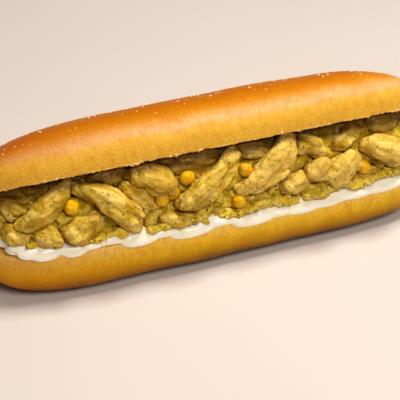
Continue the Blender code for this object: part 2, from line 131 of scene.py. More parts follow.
def new_finish(name, **settings):
    """A material, its tree's links, its Principled shader and the Object coordinates."""
    finish = bpy.data.materials.new(name)
    finish.use_nodes = True
    shader = finish.node_tree.nodes["Principled BSDF"]
    for setting, value in settings.items():
        shader.inputs[setting.replace("_", " ")].default_value = value
    coords = add_node(finish, "TexCoord").outputs["Object"]
    return finish, finish.node_tree.links.new, shader, coords


def lay_over(finish, base, layers, blend="MIX"):
    """Lays colours over a base colour. A layer is a colour and one or two ranges. Over a range, a
    value goes from one level to another and the layer's share with it, and two shares multiply."""
    for colour, *ranges in layers:
        share = 1.0
        for value, low, high, at_low, at_high in ranges:
            limits = {"From Min": low, "From Max": high, "To Min": at_low, "To Max": at_high}
            part = add_node(finish, "MapRange", {"Value": value, **limits})
            product = {"Value": share, "Value_001": part}
            share = add_node(finish, "Math", product, operation="MULTIPLY")
        inputs = {"Factor_Float": share, "A_Color": base, "B_Color": linear(colour)}
        base = add_node(finish, "Mix", inputs, data_type="RGBA", blend_type=blend)
    return base


def emboss(finish, shader, *patterns):
    """Raises a finish's surface by one or more patterns, each with its strength and height."""
    below = {}
    for pattern, strength, height in patterns:
        inputs = {"Height": pattern, "Strength": strength, "Distance": height, **below}
        below = {"Normal": add_node(finish, "Bump", inputs)}
    finish.node_tree.links.new(below["Normal"].outputs[0], shader.inputs["Normal"])


def clamped(value, low=0, high=1):
    return min(max(value, low), high)


def signed_power(value, power):
    return math.copysign(abs(value) ** power, value)


def mark(piece, name, kind, values):
    """Stores a value or a vector for each vertex of a piece, for its material."""
    slots = piece.data.attributes.new(name, kind, "POINT")
    key = "vector" if kind == "FLOAT_VECTOR" else "value"
    slots.data.foreach_set(key, np.asarray(values, np.float32).ravel())


def half_roll(name, half_width, belly, height, squareness, blunt_widths, blunt_height, seed, hand):
    """Half a roll with its cut face on the plane z = 0: a ring drawn along the roll and resized.

    The higher a bluntness, the later that end narrows. The left end's comes first.
    """
    edge = half_width * (1 - EDGE_TUCK)
    ring = [(-edge, 0.0)]
    ring += [(-half_width * (1 - EDGE_TUCK * (1 - s) ** 1.6), belly * s) for s in WALL_STEPS]
    wall = ring[:]
    for step in range(ARC_STEPS + 1):
        angle = math.pi * step / ARC_STEPS
        across = -half_width * signed_power(math.cos(angle), ARC_ROUNDNESS)
        ring.append((across, belly + (height - belly) * abs(math.sin(angle)) ** squareness))
    ring += [(-across, up) for across, up in wall[::-1]]
    ring += [(edge * share, CUT_DOME * (1 - share**2)) for share in CUT_STEPS]

    stations = []
    for step in range(ROLL_STATIONS):
        u = 2 * step / (ROLL_STATIONS - 1) - 1
        stations.append(0.997 * ROLL_HALF_LENGTH * (0.1 * u + 0.9 * math.sin(u * math.pi / 2)))

    def size(x):
        reach = min(abs(x) / ROLL_HALF_LENGTH, 1)
        blunts = (blunt_widths[x > 0], blunt_height)
        return [(1 - reach**blunt) ** (1 / TIP_ROUNDNESS) for blunt in blunts]

    bpy.ops.mesh.primitive_circle_add(vertices=len(ring), radius=half_width)
    half = bpy.context.object
    half.name = half.data.name = name
    wide, tall = size(stations[0])
    for vertex, (across, up) in zip(half.data.vertices, ring):
        vertex.co = (stations[0], across * wide, up * tall)
    select_only(half)
    bpy.ops.object.mode_set(mode="EDIT")
    bpy.ops.mesh.select_all(action="SELECT")
    for x, next_x in zip(stations, stations[1:]):
        (wide, tall), (next_wide, next_tall) = size(x), size(next_x)
        bpy.ops.mesh.extrude_region_move(TRANSFORM_OT_translate={"value": (next_x - x, 0, 0)})
        bpy.ops.transform.resize(
            value=(1, next_wide / wide, next_tall / tall), center_override=(next_x, 0, 0)
        )
    for side in (1, -1):
        bpy.ops.mesh.extrude_region_move(TRANSFORM_OT_translate={"value": (side * TIP_CAP, 0, 0)})
        bpy.ops.mesh.merge(type="CENTER")
        bpy.ops.mesh.select_all(action="DESELECT")
        bpy.ops.object.mode_set(mode="OBJECT")
        for vertex in half.data.vertices:
            vertex.select = abs(vertex.co.x - stations[0]) < 0.01 * MM
        for line in half.data.edges:
            line.select = all(half.data.vertices[i].select for i in line.vertices)
        bpy.ops.object.mode_set(mode="EDIT")
    bpy.ops.mesh.select_all(action="SELECT")
    bpy.ops.mesh.normals_make_consistent(inside=False)
    bpy.ops.object.mode_set(mode="OBJECT")
    add_modifier(half, "SUBSURF", levels=2, render_levels=2)

    shift = Vector((seed, 2.3 * seed, -1.7 * seed))
    for vertex in half.data.vertices:
        x, across, up = vertex.co
        spot = Vector((x, hand * across, up))
        push = 1 + CRUST_WAVE / HEEL_HALF_WIDTH * noise.noise(spot / CRUST_WAVELENGTH + shift)
        torn = max(1 - abs(up) / TORN_REACH, 0) * (abs(across) > 0.8 * half_width * size(x)[0])
        rough = 0.7 * noise.noise(spot / SHRED_PITCH) + noise.noise(spot / NICK_PITCH + shift)
        rough *= 0.4 + max(noise.noise(spot / TEAR_PITCH - shift), 0) * 2.2
        vertex.co.y = across * push
        vertex.co.z = up * push + torn * rough * TORN_EDGE
    half.data.shade_smooth()
    inner = [
        edge * size(v.co.x)[0] - abs(v.co.y) if v.co.z < TORN_REACH else 0
        for v in half.data.vertices
    ]
    mark(half, "cut", "FLOAT", np.clip(np.array(inner) / CRUMB_BORDER, 0, 1))
    return half


def crust_finish(name, turn, shift, height, stops, tip, tip_shares):
    """Baked crust round a cut face of crumb. The stops colour it from its cut edge to its top, and
    its left end turns to the tip's colour, by one share at the edge and another higher up."""
    finish, link, shader, coords = new_finish(name, IOR=1.45, Specular_IOR_Level=0.24)
    shader.inputs["Specular Tint"].default_value = linear("ffd890")  # a thin film of butter
    own = add_node(finish, "Mapping", {"Vector": coords, "Rotation": turn, "Location": shift})
    along, _, up = add_node(finish, "SeparateXYZ", {"Vector": own}).outputs
    patches, blotches, mottle, stretches, fray = (
        add_node(finish, "TexNoise", {"Vector": own, "Scale": 1 / size, "Detail": detail})
        for size, detail in ((20 * MM, 3), (6 * MM, 3), (1.3 * MM, 3), (9 * MM, 2), (2.5 * MM, 2))
    )
    # Skin creases run round the roll, some 2 mm apart, drawn from noise stretched along them.
    creased = (1 / (1.9 * MM), 1 / (8 * MM), 1 / (8 * MM))
    creased = add_node(finish, "Mapping", {"Vector": own, "Scale": creased})
    creases = add_node(
        finish, "TexNoise", {"Vector": creased, "Scale": 1.0, "Detail": 4, "Distortion": 1.1}
    )
    freckles = add_node(finish, "TexVoronoi", {"Vector": own, "Scale": 1 / (2.6 * MM)})
    # The oven colours a roll in soft patches, about 20 mm across.
    level = {"Value": up, "From Max": height, "To Min": -0.09, "To Max": 0.91}
    level = add_node(finish, "MapRange", level)
    swing = {"Value": patches, "Value_001": 0.18, "Value_002": level}
    swing = add_node(finish, "Math", swing, operation="MULTIPLY_ADD")
    # The stops are bake colour with painted light and shade in them: a painted highlight band on
    # the crown, painted shade low on the heel.
    bake_and_light = add_node(finish, "ValToRGB", {"Fac": swing}, stops=stops)
    # The tips brown first, and the end that was farther into the oven more than the other.
    browned = (along, -20 * MM, -140 * MM, 0.0, 0.8), (level, 0.15, 0.6, *tip_shares)
    # This deepening also fades the crown's painted highlight towards its left end.
    deepened = (along, -85 * MM, -135 * MM, 0.0, 0.9), (level, 0.28, 0.5, 0.0, tip_shares[1])
    bake_and_light = lay_over(finish, bake_and_light, [(tip, *browned)])
    bake_and_light = lay_over(finish, bake_and_light, [("fccc60", *deepened)], "MULTIPLY")
    layers = (
        ("b05402", (along, 125 * MM, 150 * MM, 0.0, 0.6)),
        ("b86200", (creases, 0.55, 0.25, 0.0, 0.32)),
        # Blotches of 6 mm and fine mottling of about 1 mm, as of flour and small blisters.
        ("c26c00", (blotches, 0.5, 0.25, 0.0, 0.35)),
        ("ac5800", (mottle, 0.52, 0.3, 0.0, 1.0), (level, 0.3, 0.75, 0.2, 0.5)),
        # Pale freckles, where the skin has lifted from the crumb.
        ("f6cf7c", (freckles, 0.12, 0.22, 1.0, 0.0), (stretches, 0.5, 0.65, 0.0, 0.4)),
    )
    bake_and_light = lay_over(finish, bake_and_light, layers)
    # The cut: pale crumb inside, with a torn border.
    lift = {"Value": fray, "Value_001": -1.6 * MM, "Value_002": up}
    lift = add_node(finish, "Math", lift, operation="MULTIPLY_ADD")
    border = {"From Min": -0.9 * MM, "From Max": 0.1 * MM, "To Min": 1.0, "To Max": 0.0}
    border = add_node(finish, "MapRange", {"Value": lift, **border})
    inside = add_node(finish, "Attribute", attribute_name="cut").outputs["Fac"]
    cut = add_node(finish, "Math", {"Value": border, "Value_001": inside}, operation="MAXIMUM")
    pores = add_node(finish, "TexVoronoi", {"Vector": own, "Scale": 1 / (1.6 * MM)})
    crumb = add_node(finish, "ValToRGB", {"Fac": pores}, stops=((0.1, "d0922c"), (0.45, "f8ca6a")))
    both = {"Factor_Float": cut, "A_Color": bake_and_light, "B_Color": crumb}
    both = add_node(finish, "Mix", both, data_type="RGBA")
    link(both.outputs[2], shader.inputs["Base Color"])
    dryness = add_node(finish, "MapRange", {"Value": cut, "To Min": 0.42, "To Max": 0.9})
    link(dryness.outputs[0], shader.inputs["Roughness"])
    emboss(finish, shader, (creases, 0.5, 0.5 * MM), (mottle, 1.0, 0.4 * MM))
    return finish


heel = half_roll(
    "heel",
    HEEL_HALF_WIDTH,
    HEEL_BELLY,
    HEEL_DEPTH,
    HEEL_SQUARENESS,
    HEEL_BLUNTNESS,
    HEEL_LOW_BLUNTNESS,
    seed=1.0,
    hand=-1,
)
heel.rotation_euler.x = math.pi
heel.location = HEEL_MIDDLE
select_only(heel)
bpy.ops.object.transform_apply()
for vertex in heel.data.vertices:
    vertex.co.z = max(vertex.co.z, 0)
# From the cut edge down: bake colour, with painted light near the edge and painted shade towards
# the bottom.
HEEL_BAKE_LIGHT_AND_SHADE = (
    (0.0, "ffdc80"),
    (0.12, "fcd258"),
    (0.32, "eebc26"),
    (0.52, "c69400"),
    (0.7, "7a5600"),
    (0.86, "1c1200"),
)
heel.data.materials.append(
    crust_finish(
        "heel_crust",
        (math.pi, 0, 0),
        (-HEEL_MIDDLE.x, HEEL_MIDDLE.y, HEEL_MIDDLE.z),
        HEEL_MIDDLE.z,
        HEEL_BAKE_LIGHT_AND_SHADE,
        "b86200",
        (0.65, 0.45),
    )
)
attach(heel, "root")
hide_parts("bread_heel")

# ------------------------
# The mayonnaise: squeezed along the heel in one wavy line and pressed out over its front edge by
# the filling, where it sets in long smooth lobes. It is glossy, and light soaks into it.

MAYO_VOXEL = 0.8 * MM
LOBE_DEPTH = 3.2 * MM
LOBE_LEAN = math.radians(-42)  # they lie back on the cut, and only their tips hang over it
LOBE_LINE = -38.0 * MM  # where the lobes' middles lie, in front of the heel's rim
DOLLOP_LINE = -36.2 * MM  # and those of the dollops above them
SPREAD_HALF_LENGTH = 146 * MM
DRAWN_BACK = 0.4  # share of its width that the spread loses towards its left end
DRAWN_FROM = -122.5 * MM
DRAWN_REACH = 16 * MM
# Each lobe: its middle along the roll, its half length, its lowest point and its height, in mm.
LOBES = (
    (-143, 5, 36.0, 7.0),
    (-138, 5, 35.4, 7.5),
    (-133.5, 6, 34.0, 8.5),
    (-128, 7, 32.4, 9.5),
    (-121.5, 8, 31.2, 10.5),
    (-112.5, 10, 29.6, 10.5),
    (-96, 8, 29.6, 8.5),
    (-85.5, 8, 32.4, 6.0),
    (-76, 8, 34.0, 5.5),
    (-56, 12, 28.2, 9.0),
    (-40, 8, 30.4, 6.5),
    (-23, 15, 26.2, 9.5),
    (-5, 10, 29.4, 7.0),
    (18, 15, 24.6, 9.0),
    (35, 10, 26.6, 7.0),
    (51, 14, 25.2, 8.5),
    (68, 12, 26.0, 7.5),
    (88, 13, 27.2, 7.5),
    (108, 14, 27.0, 8.0),
    (130, 13, 28.6, 7.0),
)
DOLLOPS = (
    (-124, 10, 36.0, 7.0),
    (-57, 8, 32.5, 7.5),
    (-12, 8, 31.5, 7.0),
    (27, 8, 30.0, 6.5),
    (47, 8, 30.0, 6.5),
    (73, 9, 31.0, 6.5),
    (107, 9, 31.5, 6.0),
)


def node_copy(node, name):
    """A new piece with the mesh of a node of the model, its loose triangles merged."""
    piece = bpy.data.objects.new(name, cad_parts[node].data.copy())
    bpy.context.scene.collection.objects.link(piece)
    piece.data.name = name
    piece.data.materials.clear()
    select_only(piece)
    bpy.ops.object.mode_set(mode="EDIT")
    bpy.ops.mesh.select_all(action="SELECT")
    bpy.ops.mesh.remove_doubles(threshold=0.01 * MM)
    bpy.ops.object.mode_set(mode="OBJECT")
    return piece


def remesh(piece, voxel, rounds, factor=0.5):
    """Makes a piece one skin of even, smoothed faces."""
    add_modifier(piece, "REMESH", mode="VOXEL", voxel_size=voxel)
    add_modifier(piece, "SMOOTH", factor=factor, iterations=rounds)
    piece.data.shade_smooth()


def rim_setback(x):
    """How far the spread's edge has drawn back from its foremost at station x, near the tips."""
    reach = clamped(abs(x - HEEL_MIDDLE.x) / SPREAD_HALF_LENGTH)
    wide = (1 - reach ** HEEL_BLUNTNESS[x > 0]) ** (1 / TIP_ROUNDNESS)
    drawn = clamped((DRAWN_FROM - x) / DRAWN_REACH)
    return HEEL_HALF_WIDTH * (1 - wide * (1 - DRAWN_BACK * drawn * drawn * (3 - 2 * drawn)))


mayonnaise = node_copy("mayonnaise", "mayonnaise_spread")
lobes = []
for line, rows in ((LOBE_LINE, LOBES), (DOLLOP_LINE, DOLLOPS)):
    for middle, reach, low, height in rows:
        place = (middle * MM, line + rim_setback(middle * MM), (low + height / 2) * MM)
        bpy.ops.mesh.primitive_uv_sphere_add(segments=24, ring_count=14, radius=1, location=place)
        lobe = bpy.context.object
        lobe.scale = (reach * MM * 1.05, LOBE_DEPTH, height / 2 * MM)
        lobe.rotation_euler = (LOBE_LEAN, math.radians(-2.5), 0)
        lobes.append(lobe)
select_only(mayonnaise)
for lobe in lobes:
    lobe.select_set(True)
bpy.ops.object.join()
remesh(mayonnaise, MAYO_VOXEL, 6)

finish, link, shader, coords = new_finish(
    "mayonnaise",
    Roughness=0.22,
    IOR=1.46,
    Subsurface_Weight=0.3,
    Subsurface_Scale=2 * MM,
    Subsurface_Radius=(1.0, 0.8, 0.45),
)
blend = add_node(finish, "TexNoise", {"Vector": coords, "Scale": 1 / (9 * MM), "Detail": 2})
cream = add_node(finish, "ValToRGB", {"Fac": blend}, stops=((0.3, "fff6da"), (0.7, "fffcf0")))
link(cream.outputs[0], shader.inputs["Base Color"])
ripple = add_node(finish, "TexNoise", {"Vector": coords, "Scale": 1 / (3 * MM), "Detail": 1})
emboss(finish, shader, (ripple, 0.15, 0.3 * MM))
mayonnaise.data.materials.append(finish)
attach(mayonnaise, "root")
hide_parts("mayonnaise")

# ------------------------
# The chicken: breast and thigh, cooked in a golden herb sauce and torn into strips and chunks.
# Its fibres run along each piece, its ends are ragged, and the sauce makes it shine.

MEAT_VOXEL = 0.6 * MM
MEAT_SWELL = 0.35 * MM  # gives back what rounding takes off a piece
BUNDLE_LENGTHS = (7 * MM, 15 * MM)  # bundles of fibres that stand out of a piece's surface
BUNDLE_SPREAD = 70 * MM * MM  # the surface for each
BUNDLE_LIMIT = 0.6  # share of a piece's half length that they keep to
BUNDLES_ON_FOLDS = 0.3  # share of them on a piece that has folds
SHRED_LENGTHS = (3 * MM, 5.5 * MM)  # loose fibres at its torn ends
SHREDS_PER_BUNDLE = 0.4
SHREDS_FROM = 0.72  # share of the half length past which they hang
LUMP_SIZE = 8 * MM
LUMP_DEPTH = 2.0 * MM
KNOB_SIZE = 4.2 * MM
KNOB_DEPTH = 1.3 * MM
GRAIN_SIZE = 1.7 * MM
GRAIN_DEPTH = 0.75 * MM
# Creases between the bundles, then between the fibres: length, spacing and depth.
CREASES = ((24 * MM, 5.5 * MM, 0.6 * MM), (9 * MM, 1.5 * MM, 0.22 * MM))
FOLD_FLATNESS = 0.42
FOLD_RISE = 0.24  # share of a fold's width by which it stands out
SIGHT_FROM = -60  # in front of the filling, in mm as the folds are
MEAT_FRONT = -36
# The folds and lobes of the pieces in front, as seen from there: each runs from one place along
# the roll and height above the base to another, with its width, in mm.
FOLDS = {
    "chicken_01": ((-80, 70, -55, 52, 9.5), (-78, 61, -61, 49, 9.5), (-87, 73, -77, 62, 7.5)),
    "chicken_02": ((-121, 56, -99, 72, 12), (-110, 61, -97, 70, 7.5)),
    "chicken_03": ((-28, 52, -4, 67, 12.5), (-11, 53, 7, 67, 6.5), (-1, 68, 10, 74, 8.5)),
    "chicken_04": ((10, 51, 26, 61, 11), (24, 61, 38, 72, 12.5), (17, 47, 38, 59, 5)),
    "chicken_05": ((100, 62, 116, 54, 15), (98, 61, 99, 64, 7.5)),
    "chicken_06": ((77, 57, 70, 49, 12.5), (70, 48, 73, 43, 7.5)),
    "chicken_07": ((-50, 72, -36, 65, 11.5), (-55, 72, -52, 68, 9), (-53, 60, -42, 56, 5.5)),
    "chicken_08": ((56, 53, 64, 58, 12),),
    "chicken_09": ((-98, 51, -82, 53, 8.5), (-97, 50, -96, 44, 9.5)),
    "chicken_10": ((-115, 48, -111, 45, 8.5), (-109, 50, -105, 42, 7.5)),
    "chicken_11": ((-131, 47, -129, 45, 8.5), (-125, 50, -121, 47, 8.5)),
    "chicken_12": ((45, 50, 49, 50, 8.5), (39, 49, 41, 47, 7)),
    "chicken_14": ((-40, 44, -30, 40, 9),),
    "chicken_15": ((52, 72, 63, 72, 7), (68, 68, 68, 61, 5.5)),
    "chicken_18": ((-25, 73, -6, 69, 5.5), (-22, 64, -11, 64, 5.5)),
    "chicken_19": ((76, 66, 83, 65, 8.5),),
}
# Breast is paler than thigh: how far a piece goes to either, from 1 to -1.
MEAT_TONES = {
    "chicken_04": 0.9,
    "chicken_05": 0.8,
    "chicken_06": 0.6,
    # chicken_07 is darkened as painted shade of the crown's lip above it.
    "chicken_07": -1.0,
    "chicken_08": 0.8,
    "chicken_12": 0.8,
}
SEAM_SHADE_REACH = 2.2 * MM  # how far the painted shade between neighbouring pieces reaches, partly sauce gathered there too
SAUCE_AND_SHADE_REACH = 3.0 * MM  # and how far a piece darkens near the mash: partly sauce drawn up from it, partly painted shade
SHADE_REACH = 16 * MM  # how far the painted shadow of the crown's lip reaches into the filling
SHADE_FRONT = -34 * MM  # from here back
SHADE_FADE = 7 * MM


meat_nodes = sorted(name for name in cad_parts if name.startswith("chicken_"))
OPEN_FRONT = Vector((0, -0.82, 0.57))  # out of the filling's open front
NOOK_WAYS = [
    Vector(way).normalized()
    for way in ((0, -1, 0.1), (0.8, -0.6, 0.4), (-0.8, -0.6, 0.4), (0, -0.7, 0.9), (0, 0, 1))
]
NOOK_REACH = 12 * MM  # and how near a neighbour has to be for a nook to get painted shade


def clouds(name, size, depth=1, creased=False):
    """A noise pattern of a given size for a Displace modifier, soft or with sharp valleys."""
    pattern = bpy.data.textures.new(name, "CLOUDS")
    pattern.noise_scale, pattern.noise_depth = size, depth
    pattern.noise_type = "HARD_NOISE" if creased else "SOFT_NOISE"
    return pattern


def roughen(piece, pattern, depth, middle=0.5):
    """Pushes a piece's surface out and in by a pattern that is fixed in space."""
    add_modifier(
        piece,
        "DISPLACE",
        texture=pattern,
        texture_coords="GLOBAL",
        strength=depth,
        mid_level=middle,
    )


def lump_shape(name, size, depth, seed):
    """A small irregular lump of a given length, width and thickness."""
    bpy.ops.mesh.primitive_ico_sphere_add(subdivisions=2, radius=0.5)
    lump = bpy.context.object
    lump.name = lump.data.name = name
    lump.location = (3.7 * seed, -2.1 * seed, 1.3 * seed)
    roughen(lump, clouds(name, 0.45), depth)
    lump.location = (0, 0, 0)
    lump.scale = size
    select_only(lump)
    bpy.ops.object.transform_apply()
    return lump


def spots_on(piece, count, seed, wanted):
    """Evenly random places and directions on a piece, where wanted(place, direction) holds."""
    draw = Random(seed)
    mesh = piece.data
    faces = [face for face in mesh.polygons if wanted(face.center, face.normal)]
    for face in draw.choices(faces, weights=[face.area for face in faces], k=count):
        shares = [draw.random() for _ in face.vertices]
        place = Vector()
        for share, index in zip(shares, face.vertices):
            place += mesh.vertices[index].co * (share / sum(shares))
        yield place, face.normal.copy()


def sow(name, shapes, spots, sizes, sink, seed, along=None):
    """One mesh of many copies of the shapes, laid flat on the spots and sunk by a share of their
    size, with their lengths at random or about along a direction."""
    draw = Random(seed)
    vertices, faces, first = [], [], 0
    bodies = [
        (
            np.array([vertex.co for vertex in shape.data.vertices]),
            [tuple(face.vertices) for face in shape.data.polygons],
        )
        for shape in shapes
    ]
    for place, direction in spots:
        body, sides = draw.choice(bodies)
        size = sizes[0] + (sizes[1] - sizes[0]) * draw.random() ** 1.5
        if along is None:
            spin = draw.uniform(0, math.tau)
            turn = direction.to_track_quat("Z", "Y").to_matrix()
        else:
            spin = draw.gauss(0, 0.2)
            ahead = (along - direction * along.dot(direction)).normalized()
            turn = Matrix((ahead, direction.cross(ahead), direction)).transposed()
        turn = turn @ Matrix.Rotation(spin, 3, "Z") @ Matrix.Rotation(draw.gauss(0, 0.2), 3, "X")
        vertices.append(body * size @ np.array(turn).T + np.array(place - direction * size * sink))
        faces += [tuple(first + index for index in side) for side in sides]
        first += len(body)
    mesh = bpy.data.meshes.new(name)
    mesh.from_pydata(np.concatenate(vertices), [], faces)
    mesh.shade_smooth()
    heap = bpy.data.objects.new(name, mesh)
    bpy.context.scene.collection.objects.link(heap)
    return heap


def merge_into(piece, others):
    """Joins other pieces to a piece, which keeps its name."""
    select_only(piece)
    for other in others:
        other.select_set(True)
    bpy.ops.object.join()


def grain_frame(piece):
    """A piece's middle, and its own axes: along its fibres, across them and through it."""
    places = np.array([vertex.co for vertex in piece.data.vertices])
    middle = places.mean(axis=0)
    axes = np.linalg.svd(places - middle, full_matrices=False)[2]
    axes *= np.sign(axes[:, :1] + 1e-9)
    if np.linalg.det(axes) < 0:
        axes[2] *= -1
    return middle, axes


def skin_of(pieces):
    """A search tree over the faces of several pieces."""
    vertices, faces = [], []
    for piece in pieces:
        first = len(vertices)
        vertices += [vertex.co.copy() for vertex in piece.data.vertices]
        faces += [[first + index for index in face.vertices] for face in piece.data.polygons]
    return BVHTree.FromPolygons(vertices, faces)


def near_boxes(first, second, gap):
    """Whether two nodes of the model come within a gap of each other, by their boxes."""
    (low_a, high_a), (low_b, high_b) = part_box(first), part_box(second)
    return all(low_a[i] < high_b[i] + gap and low_b[i] < high_a[i] + gap for i in range(3))


def fold_on(skin, x0, z0, x1, z1, width):
    """A smooth fold of meat laid on the front of a piece between two places, half sunk in it."""
    ends = []
    for x, z in ((x0, z0), (x1, z1), ((x0 + x1) / 2, (z0 + z1) / 2)):
        hit = skin.ray_cast(Vector((x, SIGHT_FROM, z)) * MM, Vector((0, 1, 0)))[0]
        ends.append(hit or skin.find_nearest(Vector((x, MEAT_FRONT, z)) * MM)[0])
    ahead = (ends[1] - ends[0]).normalized()
    out = (OPEN_FRONT - ahead * OPEN_FRONT.dot(ahead)).normalized()
    half = width / 2 * MM
    bpy.ops.mesh.primitive_uv_sphere_add(segments=20, ring_count=12, radius=1)
    fold = bpy.context.object
    fold.scale = ((ends[1] - ends[0]).length / 2 + 0.8 * half, half, 2 * half * FOLD_FLATNESS)
    fold.rotation_euler = Matrix((ahead, out.cross(ahead), out)).transposed().to_euler()
    fold.location = ends[2] - out * 2 * half * (FOLD_FLATNESS - FOLD_RISE)
    return fold


def mark_closeness(piece, name, others, reach):
    """Marks how close each vertex of a piece lies to other nodes of the model, from 0 to 1."""
    closeness = np.zeros(len(piece.data.vertices))
    if others:
        skin = skin_of([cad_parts[other] for other in others])
        for index, vertex in enumerate(piece.data.vertices):
            gap = skin.find_nearest(vertex.co, reach)[3]
            closeness[index] = 0 if gap is None else 1 - gap / reach
    mark(piece, name, "FLOAT", closeness)


def mark_shade(piece):
    """Marks what lies close under the crown's lip and behind it, from 0 to 1, for the lip's painted
    shadow.
    """
    mark_closeness(piece, "shade", ["bread_crown"], SHADE_REACH)
    for vertex, spot in zip(piece.data.vertices, piece.data.attributes["shade"].data):
        spot.value *= clamped((vertex.co.y - SHADE_FRONT) / SHADE_FADE)


def mark_nook_shade(piece, skin, start):
    """Marks how much of the open front a skin hides from each vertex, from 0 to 1, for painted
    shade.
    """
    hidden = np.zeros(len(piece.data.vertices))
    for index, vertex in enumerate(piece.data.vertices):
        if vertex.co.y < 0:
            for way in NOOK_WAYS:
                hit = skin.ray_cast(vertex.co + vertex.normal * start, way, NOOK_REACH)[0]
                hidden[index] += (hit is not None) / len(NOOK_WAYS)
    mark(piece, "nook_shade", "FLOAT", hidden)


def vary(finish, base, value, low, high, darkest, lightest):
    """Makes a colour darker where a value is low, and lighter where it is high."""
    limits = {"From Min": low, "From Max": high, "To Min": darkest, "To Max": lightest}
    factor = add_node(finish, "MapRange", {"Value": value, **limits})
    inputs = {"Factor_Float": 1.0, "A_Color": base, "B_Color": factor}
    return add_node(finish, "Mix", inputs, data_type="RGBA", blend_type="MULTIPLY")


def marks_of(finish, *names):
    """What was marked on a piece's vertices under each name, for its material."""
    return [
        add_node(finish, "Attribute", attribute_name=name).outputs["Fac"] for name in names
    ]


def meat_near(node, reach):
    """The other pieces of chicken whose boxes come within reach of a node's."""
    return [other for other in meat_nodes if other != node and near_boxes(node, other, reach)]


finish, link, shader, coords = new_finish(
    "sauced_chicken",
    Roughness=0.42,
    IOR=1.42,
    Specular_IOR_Level=0.22,
    Specular_Tint=linear("ffe4a0"),  # golden oil lies on it
    Subsurface_Weight=0.14,
    Subsurface_Scale=1.5 * MM,
    Subsurface_Radius=(1.0, 0.6, 0.2),
    Coat_Weight=0.08,
    Coat_Roughness=0.15,
)
grain = add_node(finish, "Attribute", attribute_name="grain").outputs["Vector"]
crease, seam_shade, sauce_and_shade, shaded_underside, shade, tone = marks_of(
    finish, "crease", "seam_shade", "sauce_and_shade", "shaded_underside", "shade", "tone"
)
patches = add_node(finish, "TexNoise", {"Vector": coords, "Scale": 1 / (9 * MM), "Detail": 3})
meat_stops = ((0.3, "b89018"), (0.5, "d6b038"), (0.68, "eccf68"))
meat = add_node(finish, "ValToRGB", {"Fac": patches}, stops=meat_stops)
strands = (1 / (12 * MM), 1 / (1.2 * MM), 1 / (1.2 * MM))
strands = add_node(finish, "Mapping", {"Vector": grain, "Scale": strands})
threads = add_node(
    finish, "TexNoise", {"Vector": strands, "Scale": 1.0, "Detail": 4, "Roughness": 0.65}
)
specks = add_node(finish, "TexNoise", {"Vector": coords, "Scale": 1 / (1.0 * MM), "Detail": 3})
browning = add_node(finish, "TexNoise", {"Vector": grain, "Scale": 1 / (8 * MM), "Detail": 3})
meat = vary(finish, meat, threads, 0.3, 0.7, 0.9, 1.06)
meat = vary(finish, meat, specks, 0.35, 0.65, 0.8, 1.12)
meat = lay_over(
    finish,
    meat,
    (
        # Painted highlights on the ridges between creases.
        ("f6da84", (crease, -0.1, -0.8, 0.0, 0.4)),
        ("b0800c", (browning, 0.5, 0.66, 0.0, 0.75)),
        ("f0ca66", (tone, 0.0, 1.0, 0.0, 0.5)),
        ("b88c1c", (tone, 0.0, -1.0, 0.0, 0.5)),
        # Painted shade in the creases.
        ("8e6200", (crease, 0.1, 0.9, 0.0, 0.4)),
        # Darker near the mash: partly sauce, partly painted shade.
        ("806408", (sauce_and_shade, 0.3, 1.0, 0.0, 0.6)),
        # Painted shade on the undersides.
        ("805a04", (shaded_underside, 0.0, 0.8, 0.0, 0.6)),
        # Painted shade between pieces, partly sauce gathered there too.
        ("5c3a00", (seam_shade, 0.3, 1.0, 0.0, 0.7)),
        # Painted shadow of the crown's lip.
        ("4c2a00", (shade, 0.15, 0.65, 0.0, 0.9)),
    ),
)
link(meat.outputs[2], shader.inputs["Base Color"])
emboss(finish, shader, (threads, 0.35, 0.4 * MM), (specks, 0.7, 0.4 * MM))
chicken_finish = finish

